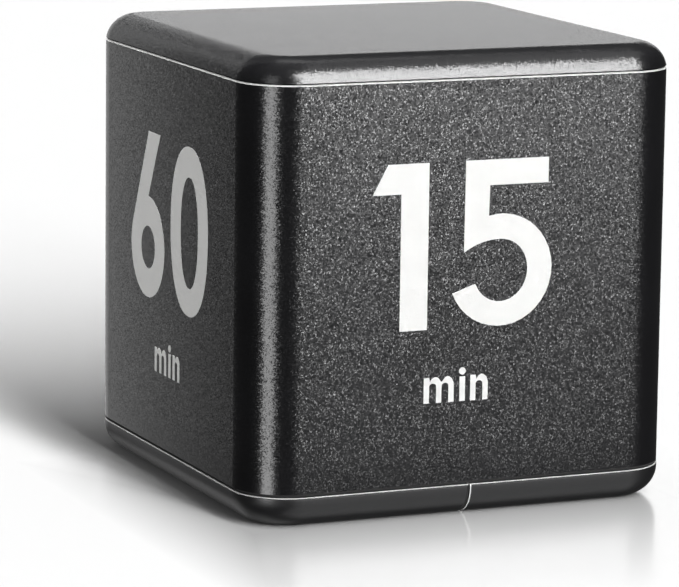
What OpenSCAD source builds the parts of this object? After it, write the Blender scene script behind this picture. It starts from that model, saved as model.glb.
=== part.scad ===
// Cube timer: a hollow cube with one duration on each of its four sides.
// Turning a side up closes one of four ball switches and starts that duration.
// Millimetres, +Z up, origin at the middle of the underside.
// The front is -Y, the left is -X, and the battery door is the +X half of the underside.

/* [Cube] */
// Edge length of the cube
cube_size = 66; // [64:0.5:72]
// Radius of the four upright corners
corner_r = 8; // [7:0.5:9]
// Radius of the rims round the top face and the underside
rim_r = 4.2; // [3:0.1:4.8]
// Thickness of the body shell's walls
wall = 2; // [1.8:0.1:2.4]
// How far the sides of the body shell lie inside those of the base
body_step = 0.05; // [0.05:0.05:0.2]
// Height of the base band
base_h = 4.6; // [4.4:0.1:5.6]
// Height from the top seam to the top face
cap_h = 3.6; // [3.2:0.1:5]
// Width of the open line at each seam
seam = 0.2; // [0.1:0.05:0.3]
// Broken edge along the upper side of each seam line
edge_break = 0.2; // [0.1:0.05:0.3]

/* [Seam tongues] */
// Outer skin of the body wall beside a tongue
tongue_skin = 1.2; // [1:0.1:1.4]
// Thickness of a tongue
tongue_t = 1.8; // [1.5:0.1:2]
// Height of a tongue
tongue_h = 3; // [2.4:0.1:4]
// Play round a tongue, a clip or an insert
fit_gap = 0.15; // [0.1:0.05:0.2]

/* [Top cap] */
// Thickness of the top cap's plate
cap_t = 2; // [1.6:0.1:2.4]
// Width of a clip
clip_w = 8; // [5:0.5:14]
// Thickness of a clip's arm
clip_t = 1.2; // [0.8:0.1:1.6]
// Length of a clip below the tongue
clip_l = 6; // [5:0.5:12]
// Height of a clip's nose
nose_h = 1.6; // [1.2:0.1:2]
// Height of the ridge that a clip hooks under
catch_h = 1.2; // [0.8:0.1:1.6]

/* [Base and battery door] */
// Thickness of the floor of the base
floor_t = 1.8; // [1.7:0.1:2]
// Thickness of the floor of the battery door
door_t = 1.8; // [1.6:0.1:2]
// Thickness of the rim of the battery door
door_rim = 1.8; // [1.6:0.1:2]
// Play between the battery door and what it slides on
door_gap = 0.3; // [0.2:0.05:0.35]
// Height of the door's rails
rail_h = 0.8; // [0.6:0.1:1]
// How far the rails stand in from the door's rim
rail_in = 0.8; // [0.6:0.1:1]
// Width of the tongue at the door's inner edge
lap_w = 16; // [10:1:24]
// Reach of the tongue at the door's inner edge
lap_l = 2.2; // [1.4:0.2:3]
// Thickness of the tongue at the door's inner edge
lap_t = 0.8; // [0.6:0.1:1]
// Wall between the two halves of the base
divider_t = 1.6; // [1.4:0.1:2]
// Length of the finger grooves in the door
groove_l = 14; // [8:1:20]
// Width of a finger groove
groove_w = 0.8; // [0.6:0.1:1.2]
// Number of finger grooves
groove_n = 5; // [3:1:7]

/* [Battery] */
// Diameter of a cell
cell_d = 10.5; // [10:0.1:10.8]
// Length of a cell with its button
cell_l = 44.5; // [43.5:0.1:45]
// Diameter of a cell's button
button_d = 3.8; // [3:0.1:4.2]
// Height of a cell's button
button_h = 1; // [0.8:0.1:1.4]
// Gap beside and above each cell
cell_gap = 0.3; // [0.2:0.05:0.4]
// Wall of the battery tray
tray_t = 1.2; // [1:0.1:1.4]
// Length of a contact spring as the cell presses it
spring_l = 4; // [3.6:0.1:5]
// Wire of a contact spring
spring_wire = 0.5; // [0.4:0.05:0.55]
// Turns of a contact spring
spring_turns = 3; // [2:0.5:3]
// Outer diameter of a contact spring at its plate
spring_d = 8; // [7:0.5:9]
// Outer diameter of a contact spring at the cell
spring_tip_d = 5; // [4.5:0.5:6]
// Thickness of the contact plates
contact_t = 0.3; // [0.2:0.05:0.5]
// Width of a contact plate
contact_w = 9; // [8:0.5:10]
// Height of a contact's dimple
dimple_h = 0.8; // [0.5:0.1:1.2]
// Width of a contact's solder tail
tail_w = 3; // [2:0.5:4]
// Length of a contact's solder tail above the tray
tail_l = 2.4; // [1.5:0.1:4]
// Diameter of a battery lead
lead_d = 1.2; // [0.8:0.1:1.6]
// Height of a battery lead's bow above the tray
lead_rise = 5; // [4:0.5:8]

/* [Board and display] */
// Thickness of the circuit board
board_t = 1.2; // [1:0.1:1.6]
// Height of the circuit board above the floor
board_lift = 6.2; // [6:0.1:8]
// Radius of the posts under the board
board_post_r = 1.9; // [1.6:0.1:2]
// Length of the display glass
lcd_l = 22; // [18:0.5:23]
// Width of the display glass
lcd_w = 11; // [9:0.5:11]
// Thickness of the display glass
lcd_t = 2; // [1.5:0.1:2.6]
// Width of the ledge round the window
window_ledge = 1; // [0.6:0.1:1.4]
// Thickness of the window
window_t = 1; // [0.8:0.1:1.1]
// How far the window lies inside the underside
window_recess = 0.2; // [0.1:0.05:0.4]
// Wall of the display holder
holder_t = 1.2; // [0.8:0.1:1.3]
// Width of the rubber strip between the display and the board
strip_w = 2; // [1.5:0.1:2.5]
// Side of the controller chip
chip_w = 6; // [4:0.5:6]
// Thickness of the controller chip
chip_t = 1.3; // [0.8:0.1:2]
// Diameter of the clock crystal
crystal_d = 2; // [1.5:0.1:3]
// Length of the clock crystal
crystal_l = 6; // [5:0.5:8]

/* [Switch and sounder] */
// Travel of the switch knob from the middle to each end
switch_travel = 2; // [1:0.25:2.5]
// Length of the knob's finger piece
knob_l = 4; // [3.4:0.2:5]
// Width of the knob's finger piece
knob_w = 3.4; // [3:0.1:4]
// How far the knob lies inside the underside
knob_recess = 0.3; // [0.2:0.1:0.5]
// Thickness of the knob's flange
flange_t = 1; // [0.8:0.1:1.2]
// Play of the sliding knob
slide_gap = 0.1; // [0.08:0.02:0.2]
// Width of the switch lever along its travel
lever_l = 1.8; // [1.4:0.1:2]
// Width of the switch lever across its travel
lever_w = 1.4; // [1:0.1:1.6]
// Height of the switch body
switch_h = 3.6; // [3:0.1:4]
// Diameter of the sounder
sounder_d = 9; // [8:0.5:10]
// Height of the sounder
sounder_h = 5.5; // [4:0.1:5.6]
// Diameter of the sound holes
sound_hole_d = 1.4; // [1:0.1:1.8]

/* [Tilt switches] */
// Diameter of a tilt switch
tilt_d = 5; // [4.6:0.1:5.2]
// Length of a tilt switch
tilt_l = 8.5; // [7.5:0.25:9]
// Wall of a tilt switch's can
tilt_wall = 0.3; // [0.2:0.05:0.4]
// Length of the plug that closes a tilt switch
plug_l = 1.5; // [1:0.1:2]
// Diameter of the ball
ball_d = 3.6; // [3:0.1:3.8]
// Play at the ball's ends and under it
ball_play = 0.05; // [0.04:0.01:0.08]
// Diameter of the plug's pins
pin_d = 0.5; // [0.4:0.05:0.7]

/* [Fasteners] */
// Diameter of the base screws
screw_d = 2; // [1.6:0.1:2.2]
// Length of the base screws
screw_l = 8; // [6:0.5:10]
// Diameter of the base screws' heads
screw_head_d = 3.8; // [3.4:0.1:4]
// Height of the base screws' heads
screw_head_h = 1.4; // [1:0.1:1.6]
// Radius of the screw posts
post_r = 2; // [1.8:0.1:2.1]
// Length of the screw posts
post_l = 14; // [12:0.5:24]
// Distance of the screw posts from the middle
post_y = 18; // [15:0.5:19]
// Diameter of the board screws
board_screw_d = 1.5; // [1.2:0.1:1.7]
// Diameter of the board screws' heads
board_head_d = 2.8; // [2.4:0.1:3.2]
// Height of the board screws' heads
board_head_h = 1; // [0.8:0.1:1.2]

/* [Hidden] */
$fn = 64;

// Overlap of one cutter or joined form with its neighbour
cut = 1;
// Depth to which a joined form is rooted in its neighbour
root = 0.5;

// Main heights and half widths
half = cube_size/2;
body_half = half - body_step;
inner_half = body_half - wall;
body_z0 = base_h + seam;
body_z1 = cube_size - cap_h;
cap_z0 = body_z1 + seam;
tongue_out = body_half - tongue_skin - fit_gap;
tongue_in = tongue_out - tongue_t;
base_tongue_z = base_h + tongue_h;
cap_tongue_z = body_z1 - tongue_h;

// Shelf of the base above the battery door
shelf_rise = 1;
shelf_half = half - door_rim - door_gap;
shelf_z0 = door_t + door_gap;
shelf_tongue_z = base_h + door_gap;
shelf_z1 = shelf_tongue_z + shelf_rise;
rail_z = (shelf_z0 + base_h)/2;
rail_x0 = 4;
rail_x1 = half - corner_r;
rail_face = half - door_rim - rail_in;
lap_z = door_t - lap_t;

// Battery tray
tray_x0 = seam/2 + tray_t;
tray_w = 2*cell_d + 3*cell_gap;
tray_x1 = tray_x0 + tray_w;
tray_half_l = (cell_l + dimple_h + spring_l)/2 + contact_t;
cell_z = shelf_z0 + cell_gap + cell_d/2;
tray_ceiling = cell_z + cell_d/2 + cell_gap;
tray_z1 = tray_ceiling + tray_t;
cell_inner_x = tray_x0 + cell_gap + cell_d/2;
cell_outer_x = cell_inner_x + cell_d + cell_gap;
button_y = tray_half_l - contact_t - dimple_h;
contact_h = cell_d;
contact_z0 = tray_ceiling - contact_h;

// Circuit board, in the left half of the base: the display lies between its posts
holder_l = lcd_l + 2*(holder_t + fit_gap);
holder_w = lcd_w + 2*(holder_t + fit_gap);
board_post_edge = 0.1;
board_post_gap = 0.45;
board_post_in = board_post_r + board_post_edge;
board_w = holder_w + 2*(board_post_in + board_post_r + board_post_gap);
board_x1 = -(seam/2 + divider_t + door_gap);
board_x0 = board_x1 - board_w;
board_x = (board_x0 + board_x1)/2;
board_z0 = floor_t + board_lift;
board_z1 = board_z0 + board_t;
flange_lip = 1.1;
flange_w = knob_w + 2*flange_lip;
flange_gap = 1.2;
chamber_r = sounder_d/2 + door_gap;
chamber_t = 1;
chamber_h = 2.5;
board_half_l = (holder_l + flange_w + 2*flange_gap)/2 + chamber_r + chamber_t;
lcd_y = board_half_l - holder_l/2;
switch_y = lcd_y - holder_l/2 - flange_gap - flange_w/2;
sounder_y = -board_half_l + chamber_r + chamber_t;
board_post_x = [board_x0 + board_post_in, board_x1 - board_post_in];
board_post_y = board_half_l - board_post_in;
board_screw_l = 4;

// Screw posts: they stand just outside the tray and the board
post_x = max(tray_x1 + tray_t, -board_x0) + fit_gap + post_r;
head_sink = 0.5;
column_over = 2.2;
column_wall = 1.1;
screw_seat = shelf_z0 + screw_head_h + head_sink;
column_z = screw_seat + column_over;
column_r = screw_head_d/2 + column_wall;
hole_play = 0.2;
thread_play = 0.05;

// Switch
flange_cover = 0.3;
knob_skin = 0.8;
lever_depth = 1;
switch_end = 1.5;
switch_side = 1.2;
slot_half = knob_l/2 + switch_travel + slide_gap;
flange_half = slot_half + switch_travel + flange_cover;
flange_z = floor_t + slide_gap;
switch_z = board_z0 - switch_h;
lever_top = switch_z + lever_depth;
lever_foot = knob_recess + knob_skin;
switch_l = lever_l + 2*(switch_travel + switch_end);
switch_w = lever_w + 2*switch_side;

// Tilt switches: distance of each open end from the board's middle, right, back, left, front
tilt_z = board_z1 + tilt_d/2;
pin_drop = 0.8;
tilt_gap = 0.6;
tilt_across = 1.6;
tilt_along = tilt_d/2 + pin_drop + tilt_gap;
tilt_start = [tilt_across, tilt_along, tilt_across, tilt_along];
tilt_bore_r = tilt_d/2 - tilt_wall;
pin_stub = 0.5;
ball_rest = plug_l + pin_stub + 2*ball_play + ball_d/2;
ball_drop = tilt_bore_r - ball_d/2 - ball_play;

// Chip and crystal, beyond the closed end of the back tilt switch
small_gap = 1;
chip_aside = 1.6;
crystal_aside = 4;
chip_x = board_x + chip_aside + chip_w/2;
chip_y = tilt_along + tilt_l + small_gap + chip_w/2;
crystal_x = board_x - crystal_aside;
crystal_y = tilt_along + tilt_l + small_gap + pin_drop;

// Battery leads: bend radius and the places where they end on the board
lead_bend = 2;
lead_inset = 3;
lead_top = tray_z1 + lead_rise;
lead_start_y = -(tray_half_l - contact_t) + lead_d/2 + ball_play;
lead_end_x = board_x1 - lead_inset;
red_end_y = -16;
black_end_y = -12;

// Half-width to corner radius, so that every wall keeps its thickness round the corners
function corner_at(h) = corner_r - (half - h);

// Section of a rim: w out from the middle and h high, with a round or broken outer edge
module rim_section(w, h, low_r, top_r, top_break) {
  difference() {
    square([w, h]);
    if (low_r > 0)
      translate([w - low_r, low_r])
        difference() {
          translate([0, -low_r - cut]) square(low_r + cut);
          circle(low_r);
        }
    if (top_r > 0)
      translate([w - top_r, h - top_r])
        difference() {
          square(top_r + cut);
          circle(top_r);
        }
    if (top_break > 0)
      polygon([[w - top_break, h], [w, h - top_break], [w + cut, h - top_break], [w + cut, h + cut],
               [w - top_break, h + cut]]);
  }
}

// Square block from z0 to z1 with round upright corners and a worked rim
module rim_block(h, z0, z1, low_r = 0, top_r = 0, top_break = 0) {
  r = corner_at(h);
  flat = h - r;
  translate([0, 0, z0]) {
    for (a = [0:90:270])
      rotate(a)
        translate([flat, flat, 0]) {
          rotate_extrude(angle = 90) rim_section(r, z1 - z0, low_r, top_r, top_break);
          rotate([90, 0, 0]) linear_extrude(2*flat) rim_section(r, z1 - z0, low_r, top_r, top_break);
        }
    translate([-flat, -flat, 0]) cube([2*flat, 2*flat, z1 - z0]);
  }
}

// Box between two corners
module span(low, high) {
  translate(low) cube(high - low);
}

// Box of w by l round the middle, from z0 to z1
module plate(w, l, z0, z1) {
  translate([-w/2, -l/2, z0]) cube([w, l, z1 - z0]);
}

// The places of the four screw posts
module at_posts() {
  for (x = [-post_x, post_x], y = [-post_y, post_y]) translate([x, y, 0]) children();
}

// The places of the four board posts
module at_board_posts() {
  for (x = board_post_x, y = [-board_post_y, board_post_y]) translate([x, y, 0]) children();
}

// Body shell: tube with a rebate at each end, screw posts and the ridges that hold the cap
module body_shell() {
  nose_z = cap_tongue_z - clip_l + nose_h;
  catch_z = nose_z + fit_gap;
  catch_half = clip_w/2 + 2;
  web_z = base_tongue_z + door_gap;
  web_t = 1.4;
  color("#1d1d1f")
    difference() {
      union() {
        difference() {
          rim_block(body_half, body_z0, body_z1, top_break = edge_break);
          rim_block(inner_half, body_z0 - cut, body_z1 + cut);
          rim_block(body_half - tongue_skin, body_z0 - cut, base_tongue_z);
          rim_block(body_half - tongue_skin, cap_tongue_z, body_z1 + cut);
        }
        for (a = [0:90:270])
          rotate(a)
            span([tongue_in + fit_gap, -catch_half, catch_z],
                 [inner_half + root, catch_half, catch_z + catch_h]);
        for (x = [-1, 1], y = [-1, 1])
          to_quarter(x, y) {
            translate([post_x, post_y, column_z]) cylinder(r = post_r, h = post_l);
            span([post_x, post_y - web_t/2, web_z],
                 [inner_half + root, post_y + web_t/2, column_z + post_l]);
          }
      }
      at_posts()
        translate([0, 0, column_z - cut]) cylinder(d = screw_d + 2*thread_play, h = screw_l + cut);
    }
}

// Mirrors its children into one of the four quarters
module to_quarter(x, y) {
  mirror([x < 0 ? 1 : 0, 0, 0]) mirror([0, y < 0 ? 1 : 0, 0]) children();
}

// Top cap: plate with a round rim, a tongue that seats in the body and four clips
module top_cap() {
  plate_z = cube_size - cap_t;
  clip_z = cap_tongue_z - clip_l;
  clip_in = tongue_in - clip_t;
  nose_out = inner_half - fit_gap;
  color("#1d1d1f") {
    difference() {
      union() {
        rim_block(half, cap_z0, cube_size, top_r = rim_r);
        rim_block(tongue_out, cap_tongue_z, cap_z0 + root);
      }
      rim_block(tongue_in, cap_tongue_z - cut, plate_z);
    }
    for (a = [0:90:270])
      rotate(a)
        translate([0, clip_w/2, 0])
          rotate([90, 0, 0])
            linear_extrude(clip_w)
              polygon([[clip_in, plate_z + root], [tongue_in + root, plate_z + root],
                       [tongue_in + root, cap_tongue_z + root], [tongue_in, cap_tongue_z + root],
                       [tongue_in, clip_z + nose_h], [nose_out, clip_z + nose_h],
                       [nose_out, clip_z + nose_h/2], [tongue_in, clip_z], [clip_in, clip_z]]);
  }
}

// Base: left half of the band, shelf above the battery door, tongue, battery tray, columns and posts
module base() {
  lap_play = door_gap/2;
  tail_slot = contact_t + 2*hole_play;
  sound_ring_r = 2*sound_hole_d;
  color("#19191b")
    difference() {
      union() {
        base_left();
        base_shelf();
        base_tongue();
        span([tray_x0 - tray_t, -tray_half_l - tray_t, shelf_z0],
             [tray_x1 + tray_t, tray_half_l + tray_t, tray_z1]);
        for (y = [-post_y, post_y]) {
          translate([-post_x, y, root]) cylinder(r = column_r, h = column_z - root);
          translate([post_x, y, shelf_z0]) cylinder(r = column_r, h = column_z - shelf_z0);
        }
        at_board_posts()
          translate([0, 0, floor_t - root]) cylinder(r = board_post_r, h = board_lift + root);
        translate([board_x, sounder_y, floor_t - root])
          cylinder(r = chamber_r + chamber_t, h = chamber_h + root);
      }
      // Room for the cells and slots for the contacts' tails
      span([tray_x0, -tray_half_l, shelf_z0 - cut], [tray_x1, tray_half_l, tray_ceiling]);
      for (x = [cell_inner_x, cell_outer_x])
        span([x - tail_w/2 - fit_gap, -tray_half_l, tray_ceiling - cut],
             [x + tail_w/2 + fit_gap, -tray_half_l + tail_slot, tray_z1 + cut]);
      // Screw holes, each with a sunk seat
      at_posts() {
        translate([0, 0, -cut]) cylinder(d = screw_d + 2*hole_play, h = column_z + 2*cut);
        translate([0, 0, -cut]) cylinder(d = screw_head_d + 2*hole_play, h = screw_seat + cut);
      }
      at_board_posts()
        translate([0, 0, board_z0 - board_screw_l])
          cylinder(d = board_screw_d + 2*thread_play, h = board_screw_l + cut);
      // Sounder chamber and its holes
      translate([board_x, sounder_y, floor_t]) cylinder(r = chamber_r, h = chamber_h + cut);
      translate([board_x, sounder_y, -cut]) {
        cylinder(d = sound_hole_d, h = floor_t + 2*cut);
        for (a = [0:60:300])
          rotate(a) translate([sound_ring_r, 0, 0]) cylinder(d = sound_hole_d, h = floor_t + 2*cut);
      }
      // Window seat and its opening
      translate([board_x, lcd_y, 0]) {
        plate(lcd_w - window_ledge, lcd_l - window_ledge, -cut, window_recess + window_t);
        plate(lcd_w - 3*window_ledge, lcd_l - 3*window_ledge, 0, floor_t + cut);
      }
      // Slot of the switch knob
      translate([board_x, switch_y, 0]) plate(2*slot_half, knob_w + 2*slide_gap, -cut, floor_t + cut);
      // Pocket for the tongue of the battery door
      span([-seam/2 - lap_l - door_gap, -lap_w/2 - door_gap, lap_z - lap_play],
           [cut, lap_w/2 + door_gap, shelf_z0]);
      // Grooves for the rails of the battery door
      for (s = [0, 1])
        mirror([0, s, 0])
          span([rail_x0 - door_gap, rail_face - door_gap, rail_z - rail_h/2 - door_gap],
               [half, half, rail_z + rail_h/2 + door_gap]);
    }
}

// Left half of the base band with its floor and the wall beside the battery
module base_left() {
  difference() {
    rim_block(half, 0, base_h, low_r = rim_r, top_break = edge_break);
    span([-seam/2, -half - cut, -cut], [half + cut, half + cut, base_h + cut]);
    intersection() {
      rim_block(tongue_in, floor_t, base_h + cut);
      span([-half, -half, floor_t], [-seam/2 - divider_t, half, base_h + cut]);
    }
  }
}

// Shelf that the battery door slides on
module base_shelf() {
  intersection() {
    rim_block(shelf_half, shelf_z0, shelf_z1);
    span([-seam/2 - divider_t, -half, shelf_z0], [half, half, shelf_z1]);
  }
}

// Tongue that the body shell seats on: on the right it starts above the rim of the battery door
module base_tongue() {
  difference() {
    rim_block(tongue_out, base_h - root, base_tongue_z);
    rim_block(tongue_in, base_h - cut, base_tongue_z + cut);
    span([-seam/2, -half, base_h - cut], [half, half, shelf_tongue_z]);
  }
}

// Battery door: right half of the base band with rails, a tongue and finger grooves
module battery_door() {
  groove_pitch = 2*groove_w;
  groove_depth = 0.4;
  color("#19191b")
    union() {
      difference() {
        rim_block(half, 0, base_h, low_r = rim_r, top_break = edge_break);
        span([-half - cut, -half - cut, -cut], [seam/2, half + cut, base_h + cut]);
        rim_block(half - door_rim, door_t, base_h + cut);
        for (i = [0:groove_n - 1])
          span([half/2 + (i - groove_n/2)*groove_pitch, -groove_l/2, -cut],
               [half/2 + (i - groove_n/2)*groove_pitch + groove_w, groove_l/2, groove_depth]);
      }
      for (s = [0, 1])
        mirror([0, s, 0])
          span([rail_x0, rail_face, rail_z - rail_h/2],
               [rail_x1, half - door_rim + root, rail_z + rail_h/2]);
      span([-seam/2 - lap_l, -lap_w/2, lap_z], [seam/2 + root, lap_w/2, door_t]);
    }
}

// One cell with its button towards -Y
module cell() {
  can_l = cell_l - button_h;
  edge = 0.5;
  color("#8b8f94")
    translate([0, -button_y, cell_z])
      rotate([-90, 0, 0])
        rotate_extrude()
          polygon([[0, 0], [button_d/2, 0], [button_d/2, button_h], [cell_d/2 - edge, button_h],
                   [cell_d/2, button_h + edge], [cell_d/2, button_h + can_l - edge],
                   [cell_d/2 - edge, button_h + can_l], [0, button_h + can_l]]);
}

module cell_inner() {
  translate([cell_inner_x, 0, 0]) cell();
}

module cell_outer() {
  translate([cell_outer_x, 0, 0]) rotate(180) cell();
}

// Contact plate against the front wall of the tray, w wide
module contact_plate(x, w) {
  span([x - w/2, -tray_half_l, contact_z0], [x + w/2, -tray_half_l + contact_t, tray_ceiling]);
}

// Solder tail that passes up through the tray
module contact_tail(x) {
  span([x - tail_w/2, -tray_half_l, tray_ceiling - root],
       [x + tail_w/2, -tray_half_l + contact_t, tray_z1 + tail_l]);
}

// Dimple that meets the button of a cell
module contact_dimple(x) {
  foot_d = button_d + 1;
  crown_d = button_d - 0.6;
  translate([x, -tray_half_l, cell_z])
    rotate([-90, 0, 0]) cylinder(d1 = foot_d, d2 = crown_d, h = contact_t + dimple_h);
}

module positive_contact() {
  color("#c9c6be") {
    contact_plate(cell_inner_x, contact_w);
    contact_tail(cell_inner_x);
    contact_dimple(cell_inner_x);
  }
}

module negative_contact() {
  color("#c9c6be") {
    contact_plate(cell_outer_x, contact_w);
    contact_tail(cell_outer_x);
  }
}

module bridge_contact() {
  bridge_w = cell_outer_x - cell_inner_x + contact_w;
  color("#c9c6be")
    mirror([0, 1, 0]) {
      contact_plate((cell_inner_x + cell_outer_x)/2, bridge_w);
      contact_dimple(cell_outer_x);
    }
}

// Contact spring: a straight foot on the plate, then a cone of turns up to the cell
spring_rings = 8;
spring_sides = 6;
spring_steps = round(spring_turns*spring_rings);
spring_foot = spring_wire;
spring_clear = 0.1;
spring_top = spring_l - spring_wire/2 - spring_clear;
function spring_angle(i) = 360*max(i - 1, 0)/spring_rings;
function spring_part(i) = max(i - 1, 0)/spring_steps;
function spring_radius(i) = (spring_d + (spring_tip_d - spring_d)*spring_part(i) - spring_wire)/2;
function spring_height(i) = i == 0 ? 0 : spring_foot + (spring_top - spring_foot)*spring_part(i);
function spring_out(i) = [cos(spring_angle(i)), sin(spring_angle(i)), 0];
function spring_at(i) = spring_radius(i)*spring_out(i) + [0, 0, spring_height(i)];
function spring_way(i) =
  i == 0 ? [0, 0, 1] :
  let (d = spring_at(min(i + 1, spring_steps + 1)) - spring_at(i - 1)) d/norm(d);
function spring_side(i) = let (b = cross(spring_way(i), spring_out(i))) b/norm(b);
spring_points = [
  for (i = [0:spring_steps + 1], k = [0:spring_sides - 1])
    let (a = 360*k/spring_sides)
      spring_at(i) + spring_wire/2*(cos(a)*spring_out(i) + sin(a)*spring_side(i))
];
spring_faces = concat(
  [for (k = [1:spring_sides - 2]) [0, k, k + 1]],
  [for (k = [1:spring_sides - 2]) let (e = (spring_steps + 1)*spring_sides) [e, e + k + 1, e + k]],
  [for (i = [0:spring_steps], k = [0:spring_sides - 1])
    let (n = (k + 1) % spring_sides, p = i*spring_sides, q = p + spring_sides)
      each [[p + k, q + k, q + n], [p + k, q + n, p + n]]]
);
spring_self_gap = min([for (i = [1:spring_steps + 1 - spring_rings])
  norm(spring_at(i + spring_rings) - spring_at(i))]) - spring_wire;
echo(spring_self_gap = spring_self_gap);

module contact_spring(x) {
  color("#d8d5cc")
    translate([x, -tray_half_l + contact_t, cell_z])
      rotate([-90, 0, 0])
        polyhedron(spring_points, spring_faces);
}

module negative_spring() {
  contact_spring(cell_outer_x);
}

module bridge_spring() {
  mirror([0, 1, 0]) contact_spring(cell_inner_x);
}

// Lead from a solder tail, up, across and down to the board
module lead(x, end_y) {
  across = [lead_end_x - x, end_y - lead_start_y];
  reach = norm(across);
  foot = tray_z1 + tail_l/4;
  bend_z = lead_top - lead_bend;
  translate([x, lead_start_y, 0])
    rotate(atan2(across[1], across[0])) {
      translate([0, 0, foot]) cylinder(d = lead_d, h = bend_z - foot);
      translate([lead_bend, 0, bend_z]) lead_turn(90);
      translate([lead_bend, 0, lead_top]) rotate([0, 90, 0]) cylinder(d = lead_d, h = reach - 2*lead_bend);
      translate([reach - lead_bend, 0, bend_z]) lead_turn(0);
      translate([reach, 0, board_z1]) cylinder(d = lead_d, h = bend_z - board_z1);
    }
}

// Quarter turn of a lead in an upright plane
module lead_turn(start) {
  rotate([90, 0, 0])
    rotate_extrude(angle = 90, start = start)
      translate([lead_bend, 0]) circle(d = lead_d);
}

module red_lead() {
  color("#b3221c") lead(cell_inner_x, red_end_y);
}

module black_lead() {
  color("#161616") lead(cell_outer_x, black_end_y);
}

module main_board() {
  color("#1d5a35")
    difference() {
      span([board_x0, -board_half_l, board_z0], [board_x1, board_half_l, board_z1]);
      at_board_posts()
        translate([0, 0, board_z0 - cut]) cylinder(d = board_screw_d + 2*hole_play, h = board_t + 2*cut);
    }
}

// Controller chip: moulded package on two rows of legs that bend down to the board
module controller_chip() {
  leg_n = 8;
  leg_w = 0.35;
  leg_t = 0.15;
  leg_reach = 1;
  foot_l = 0.5;
  stand_off = 0.15;
  pitch = chip_w/leg_n;
  package_half = chip_w/2 - leg_reach;
  leg_z = (chip_t + stand_off)/2;
  bend_x = chip_w/2 - foot_l;
  color("#151515")
    translate([chip_x, chip_y, board_z1]) {
      plate(2*package_half, chip_w, stand_off, chip_t);
      for (s = [0, 1], i = [0:leg_n - 1])
        mirror([s, 0, 0])
          translate([0, (i - (leg_n - 1)/2)*pitch + leg_w/2, 0])
            rotate([90, 0, 0])
              linear_extrude(leg_w)
                polygon([[package_half - leg_t, leg_z], [bend_x + leg_t, leg_z], [bend_x + leg_t, leg_t],
                         [chip_w/2, leg_t], [chip_w/2, 0], [bend_x, 0], [bend_x, leg_z - leg_t],
                         [package_half - leg_t, leg_z - leg_t]]);
    }
}

// Wire that leaves a small part along -X and turns down by drop to the board
module bent_pin(d, inside, drop) {
  translate([-pin_drop, 0, 0]) rotate([0, 90, 0]) cylinder(d = d, h = pin_drop + inside);
  translate([-pin_drop, 0, -drop]) cylinder(d = d, h = drop + d/2);
}

// Clock crystal: drawn can on its side, with a collar and two wires
module clock_crystal() {
  collar_l = 0.6;
  collar_step = 0.15;
  wire_d = 0.3;
  color("#b9bcc0")
    translate([crystal_x, crystal_y, board_z1 + crystal_d/2])
      rotate(90) {
        rotate([0, 90, 0]) {
          cylinder(d = crystal_d, h = collar_l);
          cylinder(d = crystal_d - 2*collar_step, h = crystal_l);
        }
        for (y = [-1, 1])
          translate([0, y*crystal_d/5, 0]) bent_pin(wire_d, root, crystal_d/2);
      }
}

module display_window() {
  edge = window_ledge + 2*fit_gap;
  color("#9aa39a", 0.5)
    translate([board_x, lcd_y, 0])
      plate(lcd_w - edge, lcd_l - edge, window_recess, window_recess + window_t);
}

// Display glass: front plate, and a narrower back plate that leaves a ledge for the rubber strip
module display_glass() {
  ledge = strip_w + 2*fit_gap;
  color("#8e9a86")
    translate([board_x, lcd_y, floor_t]) {
      plate(lcd_w, lcd_l, 0, lcd_t/2);
      translate([ledge/2, 0, 0]) plate(lcd_w - ledge, lcd_l, 0, lcd_t);
    }
}

module display_strip() {
  strip_end = 1;
  color("#cf8f86")
    translate([board_x - lcd_w/2 + fit_gap + strip_w/2, lcd_y, 0])
      plate(strip_w, lcd_l - 2*strip_end, floor_t + lcd_t/2, board_z0);
}

// Display holder: frame round the glass, with a bar that keeps the rubber strip upright
module display_holder() {
  bar_x = -lcd_w/2 + strip_w + 2*fit_gap + holder_t/2;
  bar_z = floor_t + lcd_t + fit_gap;
  color("#e4e2dc")
    translate([board_x, lcd_y, 0]) {
      difference() {
        plate(holder_w, holder_l, floor_t, board_z0);
        plate(lcd_w + 2*fit_gap, lcd_l + 2*fit_gap, floor_t - cut, board_z0 + cut);
      }
      translate([bar_x, 0, 0]) plate(holder_t, lcd_l + 2*(fit_gap + root), bar_z, board_z0);
    }
}

module switch_body() {
  room_l = lever_l + 2*(switch_travel + slide_gap);
  color("#b9bcc0")
    translate([board_x, switch_y, 0])
      difference() {
        plate(switch_l, switch_w, switch_z, board_z0);
        plate(room_l, lever_w + 2*slide_gap, switch_z - cut, lever_top + slide_gap);
      }
}

module switch_lever() {
  color("#202022")
    translate([board_x, switch_y, 0]) plate(lever_l, lever_w, lever_foot, lever_top);
}

// Switch knob: ribbed finger piece in the slot and a flange that covers the slot from inside
module switch_knob() {
  rib = 0.4;
  color("#4a4a4d")
    translate([board_x, switch_y, 0])
      difference() {
        union() {
          plate(knob_l, knob_w, knob_recess, flange_z + root);
          plate(2*flange_half, flange_w, flange_z, flange_z + flange_t);
        }
        plate(lever_l, lever_w, lever_foot, flange_z + flange_t + cut);
        for (x = [-knob_l/2 + 1.5*rib, 0, knob_l/2 - 1.5*rib])
          translate([x, 0, 0]) plate(rib, knob_w + 2*cut, knob_recess - cut, knob_recess + rib);
      }
}

// Sounder: round can with a soft lower edge and a sound port in its face
module sounder() {
  can_edge = 0.6;
  port_d = 2.2;
  port_depth = 1;
  color("#141414")
    translate([board_x, sounder_y, board_z0 - sounder_h])
      difference() {
        rotate_extrude() rim_section(sounder_d/2, sounder_h, can_edge, 0, 0);
        translate([0, 0, -cut]) cylinder(d = port_d, h = cut + port_depth);
      }
}

// Place of tilt switch i, with +X along its can from its open end
module at_tilt(i) {
  translate([board_x, 0, tilt_z]) rotate(90*i) translate([tilt_start[i], 0, 0]) children();
}

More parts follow.
